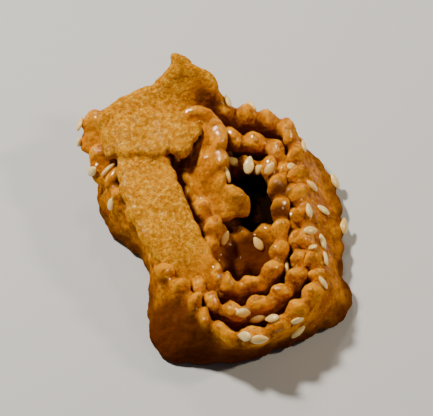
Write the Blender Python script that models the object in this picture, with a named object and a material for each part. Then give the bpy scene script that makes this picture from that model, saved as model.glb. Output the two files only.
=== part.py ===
"""Chebakia: one fried pastry rose, folded from a fluted sheet of dough that is slit into strips.

The strips stay joined at the sheet's two ends. Pinching those ends together makes the knot
at the back left, and from the knot the strips run round as rings that stand on edge, one
inside the other. All sizes are in millimetres until build() scales the solid to metres.
"""

from math import cos, pi, radians, sin, sqrt

import bmesh
import bpy
from mathutils import Vector

MM = 0.001

# Driving dimensions, in millimetres.
DOUGH = 2.4  # thickness of the fried dough
FLUTE_PITCH = 4.3  # one scallop of the fluted edge
FLUTE_DEPTH = 0.75  # how far a scallop stands out, each way from the strip's mean edge
FLUTE_WAVE = 0.6  # how far a scallop leans out of the strip's face
FOOT_LAG = 1.6  # radians by which the lower edge's flutes follow the upper edge's
STEPS_PER_FLUTE = 4
EDGE_ROUND = 0.8  # from a strip's edge to where it reaches its full thickness
END_TAPER = 2.2  # length over which a strip's end narrows
END_WIDTH = 0.45  # the share of its width and thickness left at the very end
TURN_STEPS = 3  # steps ahead and behind that set the direction of a strip
FINE_STEPS = 40  # points that measure the length between two stations

# Each row is a station on the middle line of a strip: x, y, z, lean, width.
# Lean turns the strip about its own line: 0 stands on edge, and 90 lies flat with its top
# edge on the left hand of someone who walks along the strip.
STRIPS = {
    "outer_ring": [
        (-24.0, 17.0, 10.5, 70, 7.5), (-18.5, 19.5, 11.2, 68, 9.0), (-13.4, 21.2, 12.2, 60, 9.4),
        (-9.4, 24.4, 13.2, 42, 8.8), (-6.2, 23.8, 11.6, 24, 8.8), (-3.9, 22.2, 6.8, 12, 8.8),
        (0.6, 21.2, 5.8, 8, 9.2), (6.6, 19.4, 5.3, 0, 9.6), (10.2, 15.0, 5.1, -32, 10.2),
        (12.0, 6.5, 5.0, -44, 11.0), (12.4, -1.0, 5.0, -38, 9.8), (12.9, -6.0, 5.1, -30, 10.0),
        (14.0, -10.6, 4.8, -34, 10.6), (10.6, -15.0, 5.4, -8, 9.2), (6.0, -18.3, 5.4, 8, 9.4),
        (2.0, -20.2, 5.1, 14, 9.8), (-3.0, -20.8, 5.0, 6, 9.8), (-8.0, -19.3, 5.1, -20, 11.0),
        (-11.6, -15.8, 5.1, -38, 12.4), (-14.2, -9.7, 5.2, -11, 10.8), (-14.9, -4.2, 4.6, 0, 9.2),
        (-16.8, 0.4, 4.6, -4, 9.2), (-20.2, 3.6, 4.8, -8, 9.4), (-22.4, 8.0, 5.2, -10, 9.6),
        (-22.6, 12.0, 5.4, -12, 9.4),
    ],
    "back_wall": [
        (-23.2, 7.6, 4.6, -14, 8.6), (-22.4, 13.6, 5.4, -18, 9.2), (-19.0, 18.4, 5.8, -18, 9.6),
        (-14.0, 20.6, 6.0, -14, 9.6), (-8.6, 20.4, 5.8, -6, 9.2),
    ],
    "middle_ring": [
        (-15.0, 16.5, 8.0, 10, 8.0), (-7.0, 18.3, 6.4, 4, 8.5), (-0.3, 16.9, 5.4, 0, 8.8),
        (4.6, 15.9, 5.2, 0, 8.8), (7.0, 10.5, 4.5, -4, 8.5), (8.2, 4.0, 4.1, -8, 8.0),
        (8.9, -3.0, 4.1, -8, 8.0), (9.2, -8.4, 5.0, -6, 9.0), (7.0, -12.2, 5.2, -4, 9.0),
        (3.0, -14.9, 5.2, 0, 9.0), (-1.8, -16.6, 5.2, 4, 9.0), (-6.2, -14.4, 5.1, -4, 9.0),
        (-9.4, -8.8, 4.7, -6, 8.6), (-13.0, -2.0, 4.9, -6, 9.0), (-16.6, 5.0, 5.0, -8, 9.0),
        (-18.0, 12.0, 6.5, -20, 8.0),
    ],
    "inner_ring": [
        (-12.0, 13.6, 6.5, 0, 8.0), (-5.0, 14.4, 3.8, 4, 7.2), (0.0, 13.2, 3.8, 4, 7.4),
        (3.8, 12.2, 5.0, 0, 8.6), (5.8, 7.4, 5.3, -6, 8.6), (6.2, 1.5, 5.3, -8, 8.6),
        (6.2, -3.5, 5.3, -8, 8.6), (5.0, -7.8, 5.4, -6, 8.8), (1.6, -11.4, 5.6, 0, 9.0),
        (-2.9, -12.6, 6.3, -10, 9.0), (-6.7, -10.4, 8.0, -48, 8.0), (-10.1, -6.6, 10.0, -74, 8.8),
        (-12.6, -2.7, 11.0, -82, 9.4), (-14.3, 1.2, 11.5, -84, 9.8), (-15.8, 5.0, 11.7, -84, 9.6),
        (-16.8, 9.0, 11.8, -86, 9.2), (-17.6, 13.0, 11.6, -88, 8.6), (-18.2, 16.5, 11.2, -88, 8.2),
    ],
    "curl": [
        (-13.0, 17.6, 9.8, 16, 8.0), (-7.6, 17.2, 11.4, 46, 8.2), (-6.9, 13.2, 11.1, 58, 8.6),
        (-6.6, 9.2, 9.9, 58, 7.8), (-5.3, 6.2, 8.9, 52, 6.5), (-2.6, 4.5, 8.8, 46, 5.4),
        (0.8, 4.6, 8.2, 40, 4.6),
    ],
    "inner_fold": [
        (-9.0, 15.4, 5.2, 0, 7.4), (-10.4, 11.4, 4.2, 16, 7.2), (-9.8, 7.0, 4.2, 18, 7.2),
        (-7.0, 2.8, 5.0, 6, 8.4), (-5.4, -0.6, 5.3, 0, 8.6), (-6.8, -4.4, 5.0, 0, 8.2),
        (-10.0, -6.6, 4.6, 0, 8.0),
    ],
    "bottom_fold": [
        (-9.0, -1.0, 4.6, 40, 7.5), (-4.0, -1.6, 3.4, 62, 7.5), (1.0, -1.4, 2.8, 68, 7.5),
        (5.5, -0.8, 3.4, 60, 7.5), (9.5, 0.2, 4.0, 40, 7.0),
    ],
    "under_fold": [
        (-6.0, 6.4, 3.4, 74, 7.5), (-2.0, 7.2, 2.4, 84, 8.4), (2.0, 7.6, 2.0, 88, 8.8),
        (6.0, 8.0, 2.4, 84, 8.4), (9.0, 8.4, 3.4, 70, 7.5),
    ],
    "shelf": [
        (-23.5, 15.0, 11.9, -94, 8.0), (-17.0, 15.3, 13.2, -98, 8.6), (-11.8, 15.0, 13.7, -92, 7.8),
        (-8.3, 14.4, 13.2, -86, 6.6),
    ],
    "upper_lobe": [
        (-17.0, 17.6, 8.6, -44, 7.0), (-22.4, 18.2, 9.2, -50, 7.8), (-27.2, 17.6, 8.6, -54, 7.0),
    ],
    "lower_lobe": [
        (-17.0, 11.6, 8.4, -56, 7.0), (-21.8, 12.6, 8.8, -60, 7.2), (-25.8, 12.0, 8.2, -62, 6.2),
    ],
    "tail": [
        (-13.0, 22.4, 12.4, 60, 7.4), (-10.6, 26.0, 15.0, 50, 5.6), (-11.0, 28.9, 16.8, 46, 5.4),
    ],
}

# Stretches whose edges are nearly straight: from station, to station, share of the flutes left.
CALM = {
    "inner_ring": (9.6, 18, 0.22),
    "curl": (-1, 7, 0.5),
    "shelf": (-1, 2.2, 0.3),
    "outer_ring": (-1, 4.7, 0.25),
    "back_wall": (-1, 6, 0.4),
    "tail": (-1, 4, 0.2),
    "upper_lobe": (-1, 4, 0.6),
    "lower_lobe": (-1, 4, 0.6),
}
CALM_FADE = 0.6  # stations over which the flutes die away before and after such a stretch

# The share of the flutes left on the lower edge of a strip that shows its outside.
FOOT_SHARES = {"outer_ring": 0.4, "back_wall": 0.4}


def smooth_row(rows, place):
    """The row at a place along the list, such as 2.5 for half way from row 2 to row 3."""
    last = len(rows) - 1
    i = min(int(place), last - 1)
    u = place - i
    here, ahead = rows[i], rows[i + 1]
    behind = rows[i - 1] if i > 0 else [2 * a - b for a, b in zip(here, ahead)]
    beyond = rows[i + 2] if i + 2 <= last else [2 * b - a for a, b in zip(here, ahead)]
    return [
        b + 0.5 * u * (c - a + u * (2 * a - 5 * b + 4 * c - d + u * (3 * (b - c) + d - a)))
        for a, b, c, d in zip(behind, here, ahead, beyond)
    ]


def evenly_spaced(rows, spacing):
    """Rows whole steps apart along the strip, each with its distance and its place in the list."""
    parts = FINE_STEPS * (len(rows) - 1)
    fine = [smooth_row(rows, i / FINE_STEPS) for i in range(parts + 1)]
    walked = [0.0]
    for a, b in zip(fine, fine[1:]):
        walked.append(walked[-1] + (Vector(b[:3]) - Vector(a[:3])).length)
    count = max(2, round(walked[-1] / spacing))
    found, j = [], 0
    for k in range(count + 1):
        distance = walked[-1] * k / count
        while j < parts - 1 and walked[j + 1] < distance:
            j += 1
        share = (distance - walked[j]) / (walked[j + 1] - walked[j])
        row = [a + (b - a) * share for a, b in zip(fine[j], fine[j + 1])]
        found.append((distance, (j + share) / FINE_STEPS, row))
    return found


def stretch(value, low, high):
    """0 up to low and 1 from high on, with a smooth rise between them."""
    share = min(1.0, max(0.0, (value - low) / (high - low)))
    return share * share * (3 - 2 * share)


def flute_share(name, place):
    """How much of the full flutes a strip has at a place along its list of stations."""
    if name not in CALM:
        return 1.0
    start, end, share = CALM[name]
    begun = stretch(place, start - CALM_FADE, start + CALM_FADE)
    ended = stretch(place, end - CALM_FADE, end + CALM_FADE)
    return 1 + (share - 1) * begun * (1 - ended)


def strip_sections(name, rows):
    """The six corners of the strip's cross-section at each step along it."""
    steps = evenly_spaced(rows, FLUTE_PITCH / STEPS_PER_FLUTE)
    points = [Vector(row[:3]) for _, _, row in steps]
    last = len(points) - 1
    sections = []
    for i, (distance, place, row) in enumerate(steps):
        ahead = points[min(i + TURN_STEPS, last)] - points[max(i - TURN_STEPS, 0)]
        level = Vector((ahead.x, ahead.y, 0)).normalized()
        left = Vector((0, 0, 1)).cross(level)
        lean = radians(row[3])
        across = cos(lean) * level.cross(left) + sin(lean) * left
        out = ahead.cross(across).normalized()
        from_end = min(1.0, min(distance, steps[-1][0] - distance) / END_TAPER)
        taper = END_WIDTH + (1 - END_WIDTH) * sqrt(1 - (1 - from_end) ** 2)
        half = row[4] / 2 * taper
        thick = DOUGH / 2 * taper
        flutes = flute_share(name, place)
        foot_flutes = flutes * FOOT_SHARES.get(name, 1.0)
        turn = 2 * pi * distance / FLUTE_PITCH
        top = half + FLUTE_DEPTH * flutes * cos(turn)
        foot = -half - FLUTE_DEPTH * foot_flutes * cos(turn + FOOT_LAG)
        top_wave = FLUTE_WAVE * flutes * sin(turn)
        foot_wave = FLUTE_WAVE * foot_flutes * sin(turn + FOOT_LAG)
        mid = points[i]
        sections.append([
            mid + across * top + out * top_wave,
            mid + across * (top - EDGE_ROUND) + out * (top_wave / 2 + thick),
            mid + across * (foot + EDGE_ROUND) + out * (foot_wave / 2 + thick),
            mid + across * foot + out * foot_wave,
            mid + across * (foot + EDGE_ROUND) + out * (foot_wave / 2 - thick),
            mid + across * (top - EDGE_ROUND) + out * (top_wave / 2 - thick),
        ])
    return sections


def strip_mesh(name, rows):
    """A closed strip, extruded from a six-sided face through each of its sections."""
    sections = strip_sections(name, rows)
    bm = bmesh.new()
    bmesh.ops.create_circle(bm, cap_ends=True, segments=6, radius=1)
    bm.faces.ensure_lookup_table()
    face = bm.faces[0]
    for vert, corner in zip(face.verts, sections[0]):
        vert.co = corner * MM
    for i, section in enumerate(sections[1:]):
        made = bmesh.ops.extrude_face_region(bm, geom=[face], use_keep_orig=True)["geom"]
        if i > 0:
            bmesh.ops.delete(bm, geom=[face], context="FACES_ONLY")
        face = next(g for g in made if isinstance(g, bmesh.types.BMFace))
        for vert, corner in zip(face.verts, section):
            vert.co = corner * MM
    bmesh.ops.recalc_face_normals(bm, faces=bm.faces)
    mesh = bpy.data.meshes.new(name)
    bm.to_mesh(mesh)
    bm.free()
    return mesh


def combine(pastry, other, operation):
    """Unite the pastry with another closed mesh, or cut that mesh away from it."""
    boolean = pastry.modifiers.new(other.name, "BOOLEAN")
    boolean.operation = operation
    boolean.object = other
    boolean.solver = "MANIFOLD"  # EXACT leaves slightly different slivers at each run
    solid = pastry.evaluated_get(bpy.context.evaluated_depsgraph_get())
    mesh = bpy.data.meshes.new_from_object(solid)
    pastry.modifiers.clear()
    pastry.data = mesh
    bpy.data.objects.remove(other)


def linked(name, mesh):
    obj = bpy.data.objects.new(name, mesh)
    bpy.context.scene.collection.objects.link(obj)
    return obj


def table_block():
    """A block whose top is the table that the pastry stands on."""
    bm = bmesh.new()
    bmesh.ops.create_cube(bm, size=1)
    bmesh.ops.translate(bm, verts=bm.verts, vec=(0, 0, -0.5))
    bmesh.ops.scale(bm, verts=bm.verts, vec=(0.08, 0.08, 0.01))
    mesh = bpy.data.meshes.new("table")
    bm.to_mesh(mesh)
    bm.free()
    return mesh


def drop_pockets(pastry):
    """Remove the tiny closed hollows that the crossing strips leave inside the knot."""
    bm = bmesh.new()
    bm.from_mesh(pastry.data)
    left = set(bm.verts)
    shells = []
    while left:
        shell, edge_of_shell = set(), [left.pop()]
        while edge_of_shell:
            vert = edge_of_shell.pop()
            shell.add(vert)
            near = {e.other_vert(vert) for e in vert.link_edges} & left
            left -= near
            edge_of_shell.extend(near)
        shells.append(shell)
    shells.sort(key=len)
    for shell in shells[:-1]:
        bmesh.ops.delete(bm, geom=list(shell), context="VERTS")
    bm.to_mesh(pastry.data)
    bm.free()


def centre_on_origin(pastry):
    xs = [vert.co.x for vert in pastry.data.vertices]
    ys = [vert.co.y for vert in pastry.data.vertices]
    middle = Vector(((min(xs) + max(xs)) / 2, (min(ys) + max(ys)) / 2, 0))
    for vert in pastry.data.vertices:
        vert.co -= middle


def fried_dough():
    material = bpy.data.materials.new("fried_dough")
    material.use_nodes = True
    shader = material.node_tree.nodes["Principled BSDF"]
    shader.inputs["Base Color"].default_value = (0.42, 0.17, 0.03, 1)
    shader.inputs["Roughness"].default_value = 0.45
    return material


def build():
    for obj in list(bpy.data.objects):
        bpy.data.objects.remove(obj)
    pastry = linked("pastry", strip_mesh("outer_ring", STRIPS["outer_ring"]))
    for name, rows in STRIPS.items():
        if name != "outer_ring":
            combine(pastry, linked(name, strip_mesh(name, rows)), "UNION")
    # What reaches below the table comes off, so the lowest scallops rest on small flats.
    combine(pastry, linked("table", table_block()), "DIFFERENCE")
    drop_pockets(pastry)
    centre_on_origin(pastry)
    pastry.data.materials.clear()
    pastry.data.materials.append(fried_dough())


build()
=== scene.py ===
import random
from math import atan2, cos, pi, radians, sin, sqrt
import bmesh
import bpy
from mathutils import Matrix, Vector, kdtree, noise
from mathutils.bvhtree import BVHTree


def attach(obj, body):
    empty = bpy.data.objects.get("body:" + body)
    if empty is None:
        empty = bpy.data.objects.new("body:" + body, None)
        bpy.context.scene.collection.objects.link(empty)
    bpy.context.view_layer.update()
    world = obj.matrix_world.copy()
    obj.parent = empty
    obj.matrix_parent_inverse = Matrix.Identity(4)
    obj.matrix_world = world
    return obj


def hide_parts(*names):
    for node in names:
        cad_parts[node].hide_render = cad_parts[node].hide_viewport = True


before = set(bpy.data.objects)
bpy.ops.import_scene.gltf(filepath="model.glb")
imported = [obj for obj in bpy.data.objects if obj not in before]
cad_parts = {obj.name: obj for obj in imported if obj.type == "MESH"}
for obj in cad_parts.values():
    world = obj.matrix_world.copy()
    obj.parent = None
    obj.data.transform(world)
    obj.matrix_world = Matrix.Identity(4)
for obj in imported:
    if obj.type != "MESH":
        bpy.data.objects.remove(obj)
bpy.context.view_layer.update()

mm = 0.001

# The dough's measures, in millimetres.
dough = {
    "centre": (-4.841, 3.090),  # the middle of the pastry's base in the stations' own frame
    "thickness": 2.4,
    "capShare": 0.6,  # how much of a quarter of a section's points lies round each edge
    "around": 32,  # points round a section
    "step": 0.3,  # from one section to the next
    "finer": 40,  # parts between two stations, along which the length is measured
    "lookAhead": 3.2,  # how far each way the strip's direction is taken from
    "flutePitch": 4.3,
    "fluteDepth": 0.8,
    "fluteWave": 0.5,  # how far an edge swings from side to side
    "footShift": 1.1,  # by how much the lower edge's lobes lie further along
    "footTurn": 1.6,  # by how much its waves do, in radians
    "ruffleReach": 4.0,  # how far in from an edge the flutes still bend the strip
    "waveFade": 1.5,  # the power by which the waves fade over that
    "lip": 0.24,  # the share by which a fluted edge is thicker than the strip
    "bead": 0.42,  # how much thicker an edge is at its lobes, and thinner at its notches
    "rimFade": 2.2,  # how soon the edge's painted highlight and painted shade fade away from it
    "calmFade": 0.6,  # how soon a calm stretch begins and ends, in stations
    "endTaper": 2.2,  # how far from a strip's end it begins to narrow
    "endWidth": 0.45,  # the share of the width that is left at the very end
    "endThickness": 0.35,
    "endFlute": 0.55,  # how deep the notches across an end are
    "endShift": 1.3,
    "endFluteWidth": (5.5, 7),  # strips narrower than this have plain ends
    # How a strip varies along its length: by how much, over what length, and which row of the noise.
    "varied": {
        "lean": (5, 9, 0),  # in degrees
        "sway": (0.35, 6, 5),
        "width": (0.08, 5, 9),
        "thickness": (0.2, 4, 13),
        "flutePlace": (0.9, 8, 17),
        "fluteSize": (0.45, 3.1, 21),
    },
    "seedStep": 7,  # from one strip's noise to the next one's
    "weld": 1e-4,  # how near points are that become one where a tube's sides meet
    "soften": (0.5, 4),  # factor and rounds of the smoothing after the strips are made one
    "leastPoints": 2000,  # a loose part with fewer points is dropped
    # The fried surface: blisters, and unevenness of three sizes as how much and over what length.
    "pointsPerBlister": 250,
    "blisterRadii": (0.35, 0.4, 0.5, 0.6, 0.8, 1.1),
    "blisterHeight": (0.12, 0.26),  # as a share of the radius
    "swell": (0.22, 3.4),
    "lumps": (0.13, 1.5),
    "grain": (0.09, 0.75),
    "dryCalm": 0.5,  # the share of the blisters and lumps that dry dough lacks
    "low": (0.8, 7.0),  # heights between which painted shade darkens the dough towards the floor
    "lowSway": (1.6, 2.8),
}

# Stations on the middle line of each strip, in millimetres: x, y, z, lean in degrees, width.
outerStrips = {
    "outerRing": [
        (-24.0, 17.0, 10.5, 70, 7.5), (-18.5, 19.5, 11.2, 68, 9.0), (-13.4, 21.2, 12.2, 60, 9.4),
        (-9.4, 24.4, 13.2, 42, 8.8), (-6.2, 23.8, 11.6, 24, 8.8), (-3.9, 22.2, 6.8, 12, 8.8),
        (0.6, 21.2, 5.8, 8, 9.2), (6.6, 19.4, 5.3, 0, 9.6), (10.2, 15.0, 5.1, -32, 10.2),
        (12.0, 6.5, 5.0, -44, 11.0), (12.4, -1.0, 5.0, -38, 9.8), (12.9, -6.0, 5.1, -30, 10.0),
        (14.0, -10.6, 4.8, -34, 10.6), (10.6, -15.0, 5.4, -8, 9.2), (6.0, -18.3, 5.4, 8, 9.4),
        (2.0, -20.2, 5.1, 14, 9.8), (-3.0, -20.8, 5.0, 6, 9.8), (-8.0, -19.3, 5.1, -20, 11.0),
        (-11.6, -15.8, 5.1, -38, 12.4), (-14.2, -9.7, 5.2, -11, 10.8), (-14.9, -4.2, 4.6, 0, 9.2),
        (-16.8, 0.4, 4.6, -4, 9.2), (-20.2, 3.6, 4.8, -8, 9.4), (-22.4, 8.0, 5.2, -10, 9.6),
        (-22.6, 12.0, 5.4, -12, 9.4),
    ],
    "backWall": [
        (-23.2, 7.6, 4.6, -14, 8.6), (-22.4, 13.6, 5.4, -18, 9.2), (-19.0, 18.4, 5.8, -18, 9.6),
        (-14.0, 20.6, 6.0, -14, 9.6), (-8.6, 20.4, 5.8, -6, 9.2),
    ],
    "upperLobe": [(-17.0, 17.6, 8.6, -44, 7.0), (-22.4, 18.2, 9.2, -50, 7.8), (-27.2, 17.6, 8.6, -54, 7.0)],
    "lowerLobe": [(-17.0, 11.6, 8.4, -56, 7.0), (-21.8, 12.6, 8.8, -60, 7.2), (-25.8, 12.0, 8.2, -62, 6.2)],
    "tail": [(-13.0, 22.4, 12.4, 60, 7.4), (-10.6, 26.0, 15.0, 50, 5.6), (-11.0, 28.9, 16.8, 46, 5.4)],
}
middleStrips = {
    "middleRing": [
        (-15.0, 16.5, 8.0, 10, 8.0), (-7.0, 18.3, 6.4, 4, 8.5), (-0.3, 16.9, 5.4, 0, 8.8),
        (4.6, 15.9, 5.2, 0, 8.8), (7.0, 10.5, 4.5, -4, 8.5), (8.2, 4.0, 4.1, -8, 8.0),
        (8.9, -3.0, 4.1, -8, 8.0), (9.2, -8.4, 5.0, -6, 9.0), (7.0, -12.2, 5.2, -4, 9.0),
        (3.0, -14.9, 5.2, 0, 9.0), (-1.8, -16.6, 5.2, 4, 9.0), (-6.2, -14.4, 5.1, -4, 9.0),
        (-9.4, -8.8, 4.7, -6, 8.6), (-13.0, -2.0, 4.9, -6, 9.0), (-16.6, 5.0, 5.0, -8, 9.0),
        (-18.0, 12.0, 6.5, -20, 8.0),
    ],
}
innerStrips = {
    "innerRing": [
        (-12.0, 13.6, 6.5, 0, 8.0), (-5.0, 14.4, 3.8, 4, 7.2), (0.0, 13.2, 3.8, 4, 7.4),
        (3.8, 12.2, 5.0, 0, 8.6), (5.8, 7.4, 5.3, -6, 8.6), (6.2, 1.5, 5.3, -8, 8.6),
        (6.2, -3.5, 5.3, -8, 8.6), (5.0, -7.8, 5.4, -6, 8.8), (1.6, -11.4, 5.6, 0, 9.0),
        (-2.9, -12.6, 6.3, -10, 9.0), (-6.7, -10.4, 8.0, -48, 8.0), (-10.1, -6.6, 10.0, -74, 8.8),
        (-12.6, -2.7, 11.0, -82, 9.4), (-14.3, 1.2, 11.5, -84, 9.8), (-15.8, 5.0, 11.7, -84, 9.6),
        (-16.8, 9.0, 11.8, -86, 9.2), (-17.6, 13.0, 11.6, -88, 8.6), (-18.2, 16.5, 11.2, -88, 8.2),
    ],
    "curl": [
        (-13.0, 17.6, 9.8, 16, 8.0), (-7.6, 17.2, 11.4, 46, 8.2), (-6.9, 13.2, 11.1, 58, 8.6),
        (-6.6, 9.2, 9.9, 58, 7.8), (-5.3, 6.2, 8.9, 52, 6.5), (-2.6, 4.5, 8.8, 46, 5.4),
        (0.8, 4.6, 8.2, 40, 4.6),
    ],
    "innerFold": [
        (-9.0, 15.4, 5.2, 0, 7.4), (-10.4, 11.4, 4.2, 16, 7.2), (-9.8, 7.0, 4.2, 18, 7.2),
        (-7.0, 2.8, 5.0, 6, 8.4), (-5.4, -0.6, 5.3, 0, 8.6), (-6.8, -4.4, 5.0, 0, 8.2),
        (-10.0, -6.6, 4.6, 0, 8.0),
    ],
    "bottomFold": [
        (-9.0, -1.0, 4.6, 40, 7.5), (-4.0, -1.6, 3.4, 62, 7.5), (1.0, -1.4, 2.8, 68, 7.5),
        (5.5, -0.8, 3.4, 60, 7.5), (9.5, 0.2, 4.0, 40, 7.0),
    ],
    "underFold": [
        (-6.0, 6.4, 3.4, 74, 7.5), (-2.0, 7.2, 2.4, 84, 8.4), (2.0, 7.6, 2.0, 88, 8.8),
        (6.0, 8.0, 2.4, 84, 8.4), (9.0, 8.4, 3.4, 70, 7.5),
    ],
    "shelf": [
        (-23.5, 15.0, 11.9, -94, 8.0), (-17.0, 15.3, 13.2, -98, 8.6), (-11.8, 15.0, 13.7, -92, 7.8),
        (-8.3, 14.4, 13.2, -86, 6.6),
    ],
}


def smoothRow(rows, place):
    # The row at a place along a smooth line through them: 2.5 is halfway from the third to the fourth.
    last = len(rows) - 1
    i = min(int(place), last - 1)
    u = place - i
    here, ahead = rows[i], rows[i + 1]
    behind = rows[i - 1] if i > 0 else [2 * a - b for a, b in zip(here, ahead)]
    beyond = rows[i + 2] if i + 2 <= last else [2 * b - a for a, b in zip(here, ahead)]
    return [
        b + 0.5 * u * (c - a + u * (2 * a - 5 * b + 4 * c - d + u * (3 * (b - c) + d - a)))
        for a, b, c, d in zip(behind, here, ahead, beyond)
    ]


def evenRows(rows, spacing):
    # Rows at an even spacing, each after its distance and its place among the stations.
    finer = dough["finer"]
    parts = finer * (len(rows) - 1)
    fine = [smoothRow(rows, i / finer) for i in range(parts + 1)]
    walked = [0.0]
    for a, b in zip(fine, fine[1:]):
        walked.append(walked[-1] + (Vector(b[:3]) - Vector(a[:3])).length)
    count = max(2, round(walked[-1] / spacing))
    found, j = [], 0
    for k in range(count + 1):
        distance = walked[-1] * k / count
        while j < parts - 1 and walked[j + 1] < distance:
            j += 1
        share = (distance - walked[j]) / (walked[j + 1] - walked[j])
        row = [a + (b - a) * share for a, b in zip(fine[j], fine[j + 1])]
        found.append((distance, (j + share) / finer, row))
    return found


# Stretches whose edges are nearly straight: from station, to station, share of the flutes left there.
calmStretches = {
    "innerRing": (9.6, 18, 0.22),
    "curl": (-1, 7, 0.5),
    "shelf": (-1, 2.2, 0.55),
    "outerRing": (-1, 4.7, 0.25),
    "backWall": (-1, 6, 0.4),
    "tail": (-1, 4, 0.2),
    "upperLobe": (-1, 4, 0.6),
    "lowerLobe": (-1, 4, 0.6),
}

# The share of the flutes that is left on a strip's lower edge.
footShares = {"outerRing": 0.4, "backWall": 0.4}


def stretch(value, low, high):
    # From 0 below the low value to 1 above the high one, with soft ends.
    share = min(1.0, max(0.0, (value - low) / (high - low)))
    return share * share * (3 - 2 * share)


def shareLeft(least, share):
    # From the least at a share of 0 to 1 at a share of 1.
    return least + (1 - least) * share


def fluteShare(strip, place):
    if strip not in calmStretches:
        return 1.0
    start, end, share = calmStretches[strip]
    fade = dough["calmFade"]
    begun = stretch(place, start - fade, start + fade)
    return 1 + (share - 1) * begun * (1 - stretch(place, end - fade, end + fade))


def scallop(distance):
    # Round lobes with narrow notches between them, from -1 to 1.
    return 2 * abs(cos(pi * distance / dough["flutePitch"])) - 1


def varied(what, distance, seed):
    amount, length, row = dough["varied"][what]
    return amount * noise.noise(Vector((distance / length, seed, row)))


def stadium(share):
    # A point round a section: its side (-1 to 1), and how far the round edge takes it across and out.
    quarter = share * 4 % 4
    cap = dough["capShare"]
    if quarter < cap:
        a = pi * (quarter / cap - 0.5)
        return 1, cos(a), sin(a)
    if quarter < 2:
        return 1 - 2 * (quarter - cap) / (2 - cap), 0, 1
    if quarter < 2 + cap:
        a = pi * ((quarter - 2) / cap + 0.5)
        return -1, cos(a), sin(a)
    return -1 + 2 * (quarter - (2 + cap)) / (2 - cap), 0, -1


def stripAxes(ahead, lean):
    # The directions across a strip and out of its face, where it runs ahead and leans.
    level = Vector((ahead.x, ahead.y, 0)).normalized()
    left = Vector((0, 0, 1)).cross(level)
    across = cos(lean) * level.cross(left) + sin(lean) * left
    return across, ahead.cross(across).normalized()


def flutesAt(strip, place, distance, seed):
    # How far a strip's top edge and its foot reach out, and swing from side to side.
    share = fluteShare(strip, place)
    along = distance + varied("flutePlace", distance, seed)
    size = share * (1 + varied("fluteSize", distance, seed))
    footSize = size * footShares.get(strip, 1)
    turn = 2 * pi * along / dough["flutePitch"]
    lobe = scallop(along)
    return {
        "top": dough["fluteDepth"] * size * lobe,
        "foot": dough["fluteDepth"] * footSize * scallop(along + dough["footShift"]),
        "topWave": dough["fluteWave"] * size * sin(turn),
        "footWave": dough["fluteWave"] * footSize * sin(turn + dough["footTurn"]),
        "lip": dough["lip"] * share,
        # The edge's tint: painted highlight on the lobes (above 0) and painted shade in the notches (below
        # 0).
        "rim": lobe * min(1.0, size) if lobe < 0 else lobe,
    }


def sectionPoint(share, half, thick, flutes):
    # A point round a section: how far across and out it lies, and its share of the edge's tint.
    side, roundAcross, roundOut = stadium(share)
    flat = side * (half - thick)
    toTop = max(0.0, 1 - (half - flat) / dough["ruffleReach"])
    toFoot = max(0.0, 1 - (half + flat) / dough["ruffleReach"])
    lip = flutes["lip"] * max(toTop, toFoot) ** 2
    swell = 1 + lip + dough["bead"] * (flutes["top"] * toTop ** 2 + flutes["foot"] * toFoot ** 2)
    reach = flat + roundAcross * thick * swell + flutes["top"] * toTop - flutes["foot"] * toFoot
    topWave = flutes["topWave"] * toTop ** dough["waveFade"]
    footWave = flutes["footWave"] * toFoot ** dough["waveFade"]
    push = roundOut * thick * swell + topWave + footWave
    rim = flutes["rim"] * (1 - min(1.0, (1 - abs(side)) * dough["rimFade"]))
    return reach, push, rim


def stripSections(strip, rows, seed):
    # The sections from a strip's start to its end: their points, and each point's share of the edge's tint.
    steps = evenRows(rows, dough["step"])
    points = [Vector(row[:3]) for _, _, row in steps]
    whole = steps[-1][0]
    span = round(dough["lookAhead"] / dough["step"])
    sections = []
    for i, (distance, place, row) in enumerate(steps):
        ahead = (points[min(i + span, len(points) - 1)] - points[max(i - span, 0)]).normalized()
        across, out = stripAxes(ahead, radians(row[3] + varied("lean", distance, seed)))
        mid = points[i] + out * varied("sway", distance, seed)
        end = 1 - min(1.0, min(distance, whole - distance) / dough["endTaper"])
        half = row[4] / 2 * (1 + varied("width", distance, seed))
        half *= shareLeft(dough["endWidth"], sqrt(1 - end ** 2))
        thick = dough["thickness"] / 2 * (1 + varied("thickness", distance, seed))
        thick *= shareLeft(dough["endThickness"], sqrt(1 - end ** 2))
        endWave = dough["endFlute"] * end ** 2 * stretch(row[4], *dough["endFluteWidth"])
        if 2 * distance <= whole:
            endWave = -endWave
        flutes = flutesAt(strip, place, distance, seed)
        ring, rims = [], []
        for k in range(dough["around"]):
            reach, push, rim = sectionPoint(k / dough["around"], half, thick, flutes)
            forth = endWave * scallop(reach + dough["endShift"])
            ring.append(mid + across * reach + out * push + ahead * forth)
            rims.append(rim)
        sections.append((ring, rims))
    return sections


def addStrip(bm, strip, rows, seed):
    # A closed tube: a grid whose two long sides meet. Its ends are filled afterwards.
    sections = stripSections(strip, rows, seed)
    around = dough["around"]
    grid = bmesh.ops.create_grid(bm, x_segments=around, y_segments=len(sections) - 1, size=1)["verts"]
    shift = Vector(dough["centre"]).to_3d()
    ordered = sorted(grid, key=lambda v: (round(v.co.y, 6), v.co.x))
    for i, vert in enumerate(ordered):
        row, column = divmod(i, around + 1)
        vert.co = sections[row][0][column % around] - shift
    # Every second point of every second section tells the finished surface where it lies on the strip.
    return [
        (p - shift, rim, i / (len(sections) - 1))
        for i, (ring, rims) in enumerate(sections)
        if i % 2 == 0
        for p, rim in zip(ring[::2], rims[::2])
    ]


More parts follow.
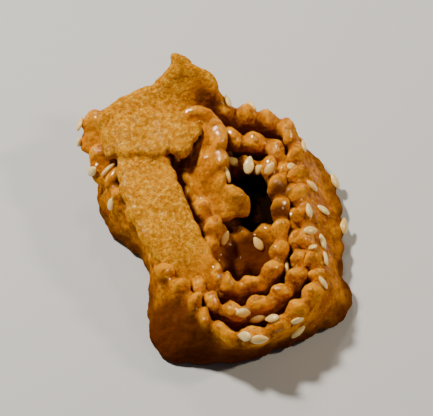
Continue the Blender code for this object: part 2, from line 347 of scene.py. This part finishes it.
def dropCrumbs(mesh):
    # A closed pocket between two strips leaves a few loose faces inside the dough.
    bm = bmesh.new()
    bm.from_mesh(mesh)
    waiting = set(bm.verts)
    crumbs = []
    while waiting:
        part = [waiting.pop()]
        for vert in part:
            for edge in vert.link_edges:
                other = edge.other_vert(vert)
                if other in waiting:
                    waiting.discard(other)
                    part.append(other)
        if len(part) < dough["leastPoints"]:
            crumbs += part
    bmesh.ops.delete(bm, geom=crumbs, context="VERTS")
    bm.to_mesh(mesh)
    bm.free()


def makeOneSkin(fold, voxel):
    shell = fold.modifiers.new("shell", "REMESH")
    shell.mode = "VOXEL"
    shell.voxel_size = voxel
    soften = fold.modifiers.new("soften", "SMOOTH")
    soften.factor, soften.iterations = dough["soften"]
    graph = bpy.context.evaluated_depsgraph_get()
    mesh = bpy.data.meshes.new_from_object(fold.evaluated_get(graph))
    fold.modifiers.clear()
    fold.data = mesh
    dropCrumbs(mesh)


# How far along a strip, from its start (0) to its end (1), its dough begins to be dry and pale,
# and where it fully is.
dryStrips = {
    "innerRing": (0.63, 0.72),
    "shelf": (-1, -0.5),
    "outerRing": (0.24, 0.16),
    "tail": (-1, -0.5),
    "curl": (0.5, 1.4),
}


def dryness(strip, along):
    if strip not in dryStrips:
        return 0.0
    start, full = dryStrips[strip]
    return stretch(along, start, full) if full > start else 1 - stretch(along, full, start)


# Where the dry strips turn back to the darker moist colour as painted shade, and where painted shade darkens
# the dough: middle, then the radius within which it is full and that at which it ends.
moistShadeSpots = [
    ((-0.4, 18.6, 12.5), 2.4, 4.8), ((-2.8, 21.4, 13.0), 1.6, 3.4), ((-7.4, 8.2, 12.3), 0.6, 2.6),
]
shadeSpots = [
    ((-5.5, -22.0, 3.0), 4.8, 10.5), ((5.0, -26.5, 2.0), 3.5, 8.5), ((14.0, -24.0, 0.0), 3.0, 8.0),
    ((5.5, -5.5, 3.0), 2.0, 7.0), ((-3.0, 11.5, 8.0), 1.5, 4.5), ((10.6, 3.6, 9.5), 0.0, 3.6),
    ((10.6, -0.8, 9.5), 0.0, 3.6), ((-2.6, 21.2, 12.8), 0.0, 3.2), ((-0.6, 18.6, 12.0), 0.0, 2.6),
]


def nearSpots(place, spots):
    return max(1 - stretch((place - Vector(middle)).length, inner, outer) for middle, inner, outer in spots)


def linked(name, data):
    placed = bpy.data.objects.new(name, data)
    bpy.context.scene.collection.objects.link(placed)
    return placed


def pieceOf(name, bm):
    mesh = bpy.data.meshes.new(name)
    bm.to_mesh(mesh)
    bm.free()
    return linked(name, mesh)


def smoothFaces(mesh):
    for face in mesh.polygons:
        face.use_smooth = True


def pointTree(points):
    tree = kdtree.KDTree(len(points))
    for i, p in enumerate(points):
        tree.insert(p, i)
    tree.balance()
    return tree


def makeFold(name, strips, seed, voxel):
    bm = bmesh.new()
    samples = []
    for i, (strip, rows) in enumerate(strips.items()):
        found = addStrip(bm, strip, rows, seed + dough["seedStep"] * i)
        samples += [(p, rim, dryness(strip, along)) for p, rim, along in found]
    bmesh.ops.remove_doubles(bm, verts=bm.verts, dist=dough["weld"])
    bmesh.ops.holes_fill(bm, edges=[e for e in bm.edges if e.is_boundary], sides=0)
    bmesh.ops.recalc_face_normals(bm, faces=bm.faces)
    fold = pieceOf(name, bm)
    makeOneSkin(fold, voxel)
    roughenSurface(fold.data, samples, seed)
    smoothFaces(fold.data)
    return fold


def blisterLift(points, seed):
    # How far the blisters lift every point.
    near = pointTree(points)
    lift = [0.0] * len(points)
    rand = random.Random(seed)
    for _ in range(len(points) // dough["pointsPerBlister"]):
        centre = points[rand.randrange(len(points))]
        radius = rand.choice(dough["blisterRadii"])
        height = radius * rand.uniform(*dough["blisterHeight"])
        for _, i, away in near.find_range(centre, radius):
            lift[i] = max(lift[i], height * (1 - (away / radius) ** 2))
    return lift


def uneven(what, place, shift=(0, 0, 0)):
    amount, length = dough[what]
    return amount * noise.noise(place / length + Vector(shift))


def roughenSurface(mesh, samples, seed):
    # Raises the blisters and lumps, brings the skin to metres, and stores what the dough's look goes by.
    nearStrip = pointTree([p for p, _, _ in samples])
    points = [v.co.copy() for v in mesh.vertices]
    normals = [v.normal.copy() for v in mesh.vertices]
    lift = blisterLift(points, seed)
    shares = {label: [] for label in ("edge", "dry", "low", "up", "spotShade")}
    for i, p in enumerate(points):
        _, rim, dry = samples[nearStrip.find(p)[1]]
        # Painted shade: near these spots the dry colour gives way to the darker moist one.
        dry *= 1 - nearSpots(p, moistShadeSpots)
        swell = uneven("swell", p, (seed, 0, 0))
        lumps = uneven("lumps", p, (0, 0, seed))
        grain = uneven("grain", p, (0, seed, 0))
        bumps = (lift[i] + lumps) * (1 - dough["dryCalm"] * dry)
        moved = p + normals[i] * (swell + grain + bumps)
        moved.z = max(moved.z, 0.0)
        mesh.vertices[i].co = moved * mm
        shares["edge"].append(rim)
        shares["dry"].append(dry)
        shares["low"].append(1 - stretch(moved.z + uneven("lowSway", p), *dough["low"]))
        # painted shade at the listed spots
        shares["spotShade"].append(nearSpots(p, shadeSpots))
    mesh.update()
    shares["up"] = [v.normal.z for v in mesh.vertices]
    for label, values in shares.items():
        layer = mesh.attributes.new(label, "FLOAT", "POINT")
        layer.data.foreach_set("value", values)


# Each fold's strips, the seed of its noise, and the voxel in millimetres with which its strips are made one.
folds = {
    "outerFold": (outerStrips, 11, 0.236),
    "middleFold": (middleStrips, 43, 0.2),
    "innerFold": (innerStrips, 71, 0.221),
}
doughPieces = {name: makeFold(name, *how) for name, how in folds.items()}
print("folds", {name: len(piece.data.polygons) for name, piece in doughPieces.items()})


def wholeTree():
    corners, faces = [], []
    for piece in doughPieces.values():
        base = len(corners)
        corners += [v.co for v in piece.data.vertices]
        faces += [[base + i for i in f.vertices] for f in piece.data.polygons]
    return BVHTree.FromPolygons(corners, faces)


surface = wholeTree()
print("surface tree made")

# How shut in the dough is, told by rays from every point of it; the colour darkens with it as painted shade
# in recesses. Lengths are in millimetres.
depth = {
    "rays": 12,
    "turn": 2.399963,  # from one ray to the next, in radians
    "start": 0.15,  # above the surface
    "reach": 11,
    "farLoss": 0.5,  # the share that a hit at full reach counts less
}

# The middle hollow is painted almost black towards its bottom, as painted shade: its centre, and the radii
# and heights between which that fades, in millimetres.
hollow = {"centre": (7.6, 4.8), "radius": (4.5, 7.0), "level": (4.5, 8.5)}


def fan(count):
    # Directions spread over a half sphere about +Z, closer together near its pole.
    found = []
    for i in range(count):
        up = sqrt(1 - (i + 0.5) / count)
        turn = i * depth["turn"]
        flat = sqrt(1 - up * up)
        found.append(Vector((flat * cos(turn), flat * sin(turn), up)))
    return found


def hollowShade(place):
    away = (Vector(hollow["centre"]) - place.xy).length
    return (1 - stretch(away, *hollow["radius"])) * (1 - stretch(place.z, *hollow["level"]))


def shadeDepth(mesh):
    rays = fan(depth["rays"])
    reach = depth["reach"] * mm
    values = []
    up = Vector((0, 0, 1))
    for vert in mesh.vertices:
        turn = up.rotation_difference(vert.normal)
        start = vert.co + vert.normal * depth["start"] * mm
        hits = 0.0
        for ray in rays:
            _, _, _, away = surface.ray_cast(start, turn @ ray, reach)
            if away is not None:
                hits += 1 - depth["farLoss"] * away / reach
        # The hollow's painted black shade is added to the painted shade of the rays.
        values.append(hits / len(rays) + hollowShade(vert.co / mm))
    layer = mesh.attributes.new("occlusionShade", "FLOAT", "POINT")
    layer.data.foreach_set("value", values)


for piece in doughPieces.values():
    shadeDepth(piece.data)
print("depth shaded")


def newMaterial(name):
    material = bpy.data.materials.new(name)
    material.use_nodes = True
    return material, material.node_tree, material.node_tree.nodes["Principled BSDF"]


def linear(r, g, b):
    # The shader's values of a colour given from 0 to 255.
    return [((c / 255 + 0.055) / 1.055) ** 2.4 if c > 10 else c / 255 / 12.92 for c in (r, g, b)] + [1]


def give(tree, socket, value):
    if isinstance(value, bpy.types.NodeSocket):
        tree.links.new(value, socket)
    else:
        socket.default_value = value


def setSockets(tree, shader, values):
    for name, value in values.items():
        give(tree, shader.inputs[name], value)


def mixColour(tree, factor, first, second):
    mix = tree.nodes.new("ShaderNodeMix")
    mix.data_type = "RGBA"
    for index, value in ((0, factor), (6, first), (7, second)):  # the sockets of a mix of colours
        give(tree, mix.inputs[index], value)
    return mix.outputs[2]


def mapped(tree, value, low, high, toLow, toHigh):
    node = tree.nodes.new("ShaderNodeMapRange")
    node.interpolation_type = "SMOOTHSTEP"
    for socket, given in zip(node.inputs, (value, low, high, toLow, toHigh)):
        give(tree, socket, given)
    return node.outputs[0]


def multiplied(tree, first, second):
    node = tree.nodes.new("ShaderNodeMath")
    node.operation = "MULTIPLY"
    give(tree, node.inputs[0], first)
    give(tree, node.inputs[1], second)
    return node.outputs[0]


def attribute(tree, name):
    node = tree.nodes.new("ShaderNodeAttribute")
    node.attribute_name = name
    return node.outputs["Fac"]


def noiseValue(tree, scale, detail, rough):
    coords = tree.nodes.new("ShaderNodeTexCoord")
    node = tree.nodes.new("ShaderNodeTexNoise")
    values = {"Vector": coords.outputs["Object"], "Scale": scale, "Detail": detail, "Roughness": rough}
    setSockets(tree, node, values)
    return node.outputs["Fac"]


def bumped(tree, height, strength, distance):
    node = tree.nodes.new("ShaderNodeBump")
    setSockets(tree, node, {"Height": height, "Strength": strength, "Distance": distance})
    return node.outputs["Normal"]


# The fried dough's colours, patterns and glaze.
doughLook = {
    "colours": {
        "lit": (0.79, 0.285, 0.004, 1),
        "brown": (0.44, 0.122, 0.001, 1),
        # painted highlight on the lobes of fluted edges
        "rim": (0.95, 0.395, 0.010, 1),
        # a toasted brown for random blotches, grains and specks, and also painted shade in notches and at
        # the shade spots
        "toastAndShade": (0.13, 0.027, 0.0005, 1),
        # painted shade in recesses and gaps
        "occlusionShade": (0.11, 0.022, 0.0003, 1),
        # painted shade low down, towards the floor
        "lowShade": (0.10, 0.020, 0.0003, 1),
        # painted shade, near black, at the bottom of the middle hollow
        "pitShade": (0.010, 0.004, 0.001, 1),
        # painted glints, bright specks standing in for highlights
        "paintedGlint": (1.0, 0.56, 0.06, 1),
        "dry": (0.78, 0.33, 0.009, 1),
        "dryBrown": (0.42, 0.134, 0.001, 1),
        "dryPale": (0.98, 0.54, 0.06, 1),
    },
    # Patterns of noise: scale, detail, roughness.
    "patterns": {
        "patches": (260, 4, 0.6),
        "blotches": (800, 3, 0.6),
        "grains": (1000, 4, 0.75),
        "crumbs": (1500, 4, 0.75),
        "specks": (2100, 3, 0.6),
        "fine": (2400, 5, 0.7),
        "ripple": (1300, 2, 0.5),
    },
    # Colours laid over what is below: a pattern, its values between which the colour comes up, its share.
    "moistLayers": [
        ("patches", 0.36, 0.64, 1, "brown"),
        # painted highlight along the lobes of the edges
        ("edge", 0.1, 0.9, 0.65, "rim"),
        ("blotches", 0.5, 0.72, 0.55, "toastAndShade"),
        ("grains", 0.5, 0.68, 0.5, "toastAndShade"),
        # painted glints: small bright specks standing in for highlights
        ("grains", 0.44, 0.31, 0.7, "paintedGlint"),
    ],
    "dryLayers": [
        ("patches", 0.4, 0.66, 0.45, "dryBrown"),
        ("blotches", 0.46, 0.68, 0.5, "dryBrown"),
        ("crumbs", 0.5, 0.66, 0.85, "dryBrown"),
        ("crumbs", 0.5, 0.35, 0.95, "dryPale"),
    ],
    "lastLayers": [
        # painted shade in the notches of the edges
        ("edge", -0.1, -0.9, 0.6, "toastAndShade"),
        ("specks", 0.6, 0.76, 0.5, "toastAndShade"),
        # painted shade at the listed spots
        ("spotShade", 0, 1, 0.96, "toastAndShade"),
        # painted shade towards the floor
        ("low", 0, 1, 0.85, "lowShade"),
        # painted shade where the dough is shut in, after the rays
        ("occlusionShade", 0.4, 1.0, 0.88, "occlusionShade"),
        # painted shade: the bottom of the middle hollow goes near black
        ("occlusionShade", 0.9, 1.5, 1, "pitShade"),
    ],
    # The glaze is the product of these shares: a pattern, its values, and the shares at them.
    "glaze": [
        ("dry", 0, 1, 0.9, 0.05),
        ("low", 0, 0.5, 1, 0.05),
        ("occlusionShade", 0.4, 0.9, 1, 0.15),
        ("up", 0.4, 0.95, 0.02, 1),
    ],
    "roughness": (0.46, 0.7),  # of moist and of dry dough
    "bumpStrength": (0.5, 1.0),
    "bumpDepth": 0.0004,
    "rippleStrength": 0.36,
    "rippleDepth": 0.0003,
    "shader": {
        "Specular IOR Level": 0.0,
        "Coat Roughness": 0.05,
        "Coat IOR": 1.5,
        "Subsurface Weight": 0.1,
        "Subsurface Radius": (1.0, 0.4, 0.12),
        "Subsurface Scale": 0.0010,
    },
}


def makeDoughLook():
    material, tree, shader = newMaterial("friedDough")
    look = doughLook
    patterns = {name: noiseValue(tree, *how) for name, how in look["patterns"].items()}
    for name in ("edge", "dry", "low", "up", "spotShade", "occlusionShade"):
        patterns[name] = attribute(tree, name)

    def laid(under, layers):
        for pattern, low, high, share, colour in layers:
            factor = mapped(tree, patterns[pattern], low, high, 0, share)
            under = mixColour(tree, factor, under, look["colours"][colour])
        return under

    moist = laid(look["colours"]["lit"], look["moistLayers"])
    dry = laid(look["colours"]["dry"], look["dryLayers"])
    colour = laid(mixColour(tree, patterns["dry"], moist, dry), look["lastLayers"])
    shares = [mapped(tree, patterns[pattern], *how) for pattern, *how in look["glaze"]]
    glaze = shares[0]
    for share in shares[1:]:
        glaze = multiplied(tree, glaze, share)
    strength = mapped(tree, patterns["dry"], 0, 1, *look["bumpStrength"])
    setSockets(tree, shader, look["shader"])
    setSockets(tree, shader, {
        "Base Color": colour,
        "Roughness": mapped(tree, patterns["dry"], 0, 1, *look["roughness"]),
        "Coat Weight": glaze,
        "Normal": bumped(tree, patterns["fine"], strength, look["bumpDepth"]),
        "Coat Normal": bumped(tree, patterns["ripple"], look["rippleStrength"], look["rippleDepth"]),
    })
    return material


doughMaterial = makeDoughLook()
for piece in doughPieces.values():
    piece.data.materials.append(doughMaterial)
    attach(piece, "root")
    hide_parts("pastry")

# The sesame seeds' measures, in millimetres.
seeds = {
    "seed": 5,  # of the random draws
    "length": 3.0,
    "width": 1.75,
    "height": 0.9,
    "sizes": (0.86, 1.1),  # the least and the most share of those measures
    "point": 0.42,  # the share by which a seed's tip is narrower
    "pointFrom": -0.1,  # where it begins to narrow, from -1 at its round end to 1 at its tip
    "swell": 0.06,  # how its width grows along it
    "thinning": 0.35,  # how far its height follows its narrowing
    "raised": 0.26,  # its middle above the dough
    "tilt": (14, 9),  # the most it rolls and pitches, in degrees
    "faces": (14, 9),  # round a seed and along it
    "placed": [  # where they lie as seen along the slope at the level, and how they are turned, in degrees
        (2.0, 10.3, 60), (2.8, 8.8, 150), (5.4, 8.2, 80), (7.2, 7.4, 15), (8.8, 7.6, 60),
        (19.7, 5.0, 130), (21.1, -4.0, 95), (15.9, -8.3, 120), (1.3, -6.2, 75), (15.5, -4.9, 20),
        (6.7, -21.8, 5), (9.2, -22.0, 170), (13.1, -22.1, 20), (13.3, -24.4, 70), (4.7, -25.3, 165),
        (7.0, -25.8, 10), (8.5, -30.0, 175), (-20.6, 7.1, 20), (7.0, -7.4, 120),
    ],
    "slope": 57,  # degrees at which the placed ones came down towards the back
    "placedFrom": 60,  # how far off their paths start
    "level": 10,  # the height at which they pass x, y
    "scattered": 26,  # the others, which lie round the sides and the back
    "scatteredFrom": 80,
    "fromAround": (50, 310),  # the directions they came from, in degrees
    "fromAbove": (12, 60),  # and how steeply
    "through": ((-18, 18), (-22, 22), (2, 12)),  # the box their paths pass through
    "heights": (2, 11.5),  # between which they lie
    "facing": (-0.1, 0.75),  # how far up the dough faces there
    "outward": 0.4,  # the least it faces away from the middle
    "frontal": -0.35,  # the most it faces the front, which is towards -y
    "bareCorner": (-7, -2),  # none lie further left and nearer than this
    "gap": 2.6,
    "dryGap": 0.8,  # how near the dry dough they may lie
    "dryFrom": 0.2,  # the share from which dough counts as dry
}


def dryPoints():
    found = []
    for piece in doughPieces.values():
        layer = piece.data.attributes["dry"].data
        found += [v.co for v in piece.data.vertices if layer[v.index].value > seeds["dryFrom"]]
    return pointTree(found)


dryTree = dryPoints()


def dryAt(spot):
    return dryTree.find(spot)[2] < seeds["dryGap"] * mm


def strewn(start, towards):
    spot, normal, _, _ = surface.ray_cast(start * mm, towards)
    return spot, normal


def crowded(spot, taken, gap):
    return any((spot - other).length < gap * mm for other in taken)


def roundBall(bm, around, rings):
    return bmesh.ops.create_uvsphere(bm, u_segments=around, v_segments=rings, radius=1)["verts"]


def addSeed(bm, shade, spot, normal, turn, rand):
    size = rand.uniform(*seeds["sizes"])
    ball = roundBall(bm, *seeds["faces"])
    upright = Vector((0, 0, 1)).rotation_difference(normal).to_matrix().to_4x4()
    roll, pitch = [radians(rand.uniform(-most, most)) for most in seeds["tilt"]]
    lie = Matrix.Rotation(roll, 4, "X") @ Matrix.Rotation(pitch, 4, "Y")
    middle = Matrix.Translation(spot + normal * seeds["raised"] * mm)
    place = middle @ upright @ Matrix.Rotation(radians(turn), 4, "Z") @ lie
    tone = rand.random()
    for vert in ball:
        x, y, z = vert.co
        taper = 1 - seeds["point"] * stretch(x, seeds["pointFrom"], 1.0) + seeds["swell"] * x
        shape = Vector((
            x * seeds["length"] / 2,
            y * taper * seeds["width"] / 2,
            z * (1 - seeds["thinning"] + seeds["thinning"] * taper) * seeds["height"] / 2,
        ))
        vert.co = place @ (shape * size * mm)
        vert[shade] = tone


def noSeedAt(spot, normal):
    # Where no scattered seed lies: too low or high, where the dough is too steep, flat or dry, on faces that
    # look inwards or to the front, and at the near left corner.
    lowest, highest = seeds["heights"]
    steepest, flattest = seeds["facing"]
    left, near = seeds["bareCorner"]
    return (
        not lowest * mm <= spot.z <= highest * mm
        or not steepest < normal.z < flattest
        or dryAt(spot)
        or normal.xy.dot(spot.xy) < seeds["outward"] * spot.xy.length
        or normal.y < seeds["frontal"]
        or (spot.x < left * mm and spot.y < near * mm)
    )


def makeSeeds():
    rand = random.Random(seeds["seed"])
    bm = bmesh.new()
    shade = bm.verts.layers.float.new("tone")
    taken = []
    slope = radians(seeds["slope"])
    down = Vector((0, cos(slope), -sin(slope)))
    for x, y, turn in seeds["placed"]:
        spot, normal = strewn(Vector((x, y, seeds["level"])) - down * seeds["placedFrom"], down)
        if spot is not None:
            addSeed(bm, shade, spot, normal, turn, rand)
            taken.append(spot)
    wanted = len(taken) + seeds["scattered"]
    while len(taken) < wanted:
        turn = radians(rand.uniform(*seeds["fromAround"]))
        rise = radians(rand.uniform(*seeds["fromAbove"]))
        towards = -Vector((sin(turn) * cos(rise), -cos(turn) * cos(rise), sin(rise)))
        through = Vector([rand.uniform(*side) for side in seeds["through"]])
        spot, normal = strewn(through - towards * seeds["scatteredFrom"], towards)
        if spot is None or noSeedAt(spot, normal) or crowded(spot, taken, seeds["gap"]):
            continue
        addSeed(bm, shade, spot, normal, rand.uniform(0, 180), rand)
        taken.append(spot)
    piece = pieceOf("sesameSeeds", bm)
    smoothFaces(piece.data)
    print("seeds", len(taken))
    return piece


seedLook = {
    "light": linear(255, 228, 150),
    "dark": linear(250, 204, 112),
    "shader": {
        "Roughness": 0.42,
        "Coat Weight": 1.0,
        "Coat Roughness": 0.18,
        "Subsurface Weight": 0.15,
        "Subsurface Radius": (1.0, 0.6, 0.3),
        "Subsurface Scale": 0.0008,
    },
}


def makeSeedLook():
    material, tree, shader = newMaterial("sesame")
    colour = mixColour(tree, attribute(tree, "tone"), seedLook["light"], seedLook["dark"])
    setSockets(tree, shader, {"Base Color": colour, **seedLook["shader"]})
    return material


sesame = makeSeeds()
sesame.data.materials.append(makeSeedLook())
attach(sesame, "root")
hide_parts("pastry")
print("sesame made")

# The honey drops' measures, in millimetres.
honey = {
    "seed": 23,  # of the random draws
    "drops": 50,
    "tries": 4000,
    "radius": (0.3, 0.9),
    "height": 0.2,  # the share of its radius by which a drop stands up
    "rounding": 2.4,  # the higher, the flatter its top
    "rim": 0.01,  # how far its upper side ends below the dough
    "sunk": 0.14,  # how deep its underside lies
    "sunkRim": 0.2,  # the share of that at its rim
    "lobes": ((2, 0.25), (3, 0.14)),  # how many bulges round it, and by what share
    "lobeTurn": 6.28,  # in radians
    "faces": (14, 10),  # round a drop and from its top to its underside
    "above": 0.8,  # the height from which the dough below it is felt
    "search": 2,  # and how far down
    "from": 60,  # the height they fell from
    "span": ((-20, 22), (-25, 25)),
    "heights": (6, 11),  # between which the drops lie
    "leastUp": 0.6,  # how far up the dough faces there
    "darkest": 0.05,  # the most painted shade it may have, of the hollow or of the spots
    "gap": 2.0,
    "colour": (0.52, 0.165, 0.002, 1),
    "shader": {
        "Roughness": 0.3,
        "Specular IOR Level": 0.0,
        "Coat Weight": 1.0,
        "Coat Roughness": 0.05,
        "Coat IOR": 1.45,
    },
}


def addDrop(bm, spot, normal, radius, rand):
    # A thin drop that follows the dough below it, its underside sunk into the dough.
    sideways = normal.orthogonal().normalized()
    forward = normal.cross(sideways)
    starts = [rand.uniform(0, honey["lobeTurn"]) for _ in honey["lobes"]]
    ball = roundBall(bm, *honey["faces"])
    for vert in ball:
        share = min(1.0, vert.co.xy.length)
        angle = atan2(vert.co.y, vert.co.x)
        bulge = 1
        for (count, size), start in zip(honey["lobes"], starts):
            bulge += size * sin(count * angle + start)
        flat = spot + (sideways * cos(angle) + forward * sin(angle)) * (radius * share * bulge) * mm
        found, _, _, _ = surface.ray_cast(flat + normal * honey["above"] * mm, -normal, honey["search"] * mm)
        if found is None:
            bmesh.ops.delete(bm, geom=ball, context="VERTS")
            return False
        shape = 1 - share ** honey["rounding"]
        if vert.co.z > -0.01:  # the ball's upper half and its rim
            rise = radius * honey["height"] * shape - honey["rim"]
        else:
            rise = -honey["sunk"] * shareLeft(honey["sunkRim"], shape)
        vert.co = found + normal * rise * mm
    return True


def noDropAt(spot, normal):
    # Where no drop lies: too low or high, on a steep or dry place, or where painted shade darkens the dough.
    lowest, highest = honey["heights"]
    return (
        not lowest * mm < spot.z < highest * mm
        or normal.z < honey["leastUp"]
        or dryAt(spot)
        or hollowShade(spot / mm) > honey["darkest"]
        or nearSpots(spot / mm, shadeSpots) > honey["darkest"]
    )


def makeHoney():
    rand = random.Random(honey["seed"])
    bm = bmesh.new()
    taken = []
    tries = 0
    while len(taken) < honey["drops"] and tries < honey["tries"]:
        tries += 1
        above = Vector([rand.uniform(*side) for side in honey["span"]] + [honey["from"]])
        spot, normal = strewn(above, Vector((0, 0, -1)))
        if spot is None or noDropAt(spot, normal) or crowded(spot, taken, honey["gap"]):
            continue
        if addDrop(bm, spot, normal, rand.uniform(*honey["radius"]), rand):
            taken.append(spot)
    piece = pieceOf("honeyDrops", bm)
    smoothFaces(piece.data)
    print("honey drops", len(taken))
    return piece


def makeHoneyLook():
    material, tree, shader = newMaterial("honey")
    setSockets(tree, shader, {"Base Color": honey["colour"], **honey["shader"]})
    return material


syrup = makeHoney()
syrup.data.materials.append(makeHoneyLook())
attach(syrup, "root")
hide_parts("pastry")
print("honey made")

# The studio, in metres and watts. A lamp is its place, width, power and colour.
studio = {
    "floorSize": 4,
    "floor": {"Base Color": (0.65, 0.675, 0.73, 1), "Roughness": 0.7},
    "lamps": {
        "key": ((-0.20, 0.14, 0.37), 0.06, 2.5, (1.0, 0.92, 0.79)),
        "fill": ((0.36, 0.04, 0.30), 0.06, 0.9, (1.0, 0.84, 0.60)),
        "back": ((-0.02, 0.40, 0.34), 0.05, 0.4, (1.0, 0.88, 0.68)),
    },
    "world": {"Color": (1.0, 0.94, 0.86, 1), "Strength": 0.05},
    "target": (0.0, 0.001, 0.008),
    "lens": 450,
    "away": 0.90,
    "azimuth": 0,
    "elevation": 57,
}


def aim(placed, place, target):
    placed.location = place
    placed.rotation_euler = (Vector(target) - Vector(place)).to_track_quat("-Z", "Y").to_euler()


def makeFloor():
    bm = bmesh.new()
    bmesh.ops.create_grid(bm, x_segments=1, y_segments=1, size=studio["floorSize"] / 2)
    floor = pieceOf("floor", bm)
    material, tree, shader = newMaterial("paleFloor")
    setSockets(tree, shader, studio["floor"])
    floor.data.materials.append(material)


def makeLights():
    for name, (place, size, power, colour) in studio["lamps"].items():
        light = bpy.data.lights.new(name, "AREA")
        light.shape = "DISK"
        light.size = size
        light.energy = power
        light.color = colour
        aim(linked(name, light), place, studio["target"])
    world = bpy.data.worlds.new("studio")
    world.use_nodes = True
    setSockets(world.node_tree, world.node_tree.nodes["Background"], studio["world"])
    bpy.context.scene.world = world


def makeCamera():
    camera = linked("camera", bpy.data.cameras.new("camera"))
    camera.data.lens = studio["lens"]
    turn, rise = radians(studio["azimuth"]), radians(studio["elevation"])
    towards = Vector((sin(turn) * cos(rise), -cos(turn) * cos(rise), sin(rise)))
    aim(camera, Vector(studio["target"]) + towards * studio["away"], studio["target"])
    bpy.context.scene.camera = camera


makeFloor()
makeLights()
makeCamera()

print("studio made")
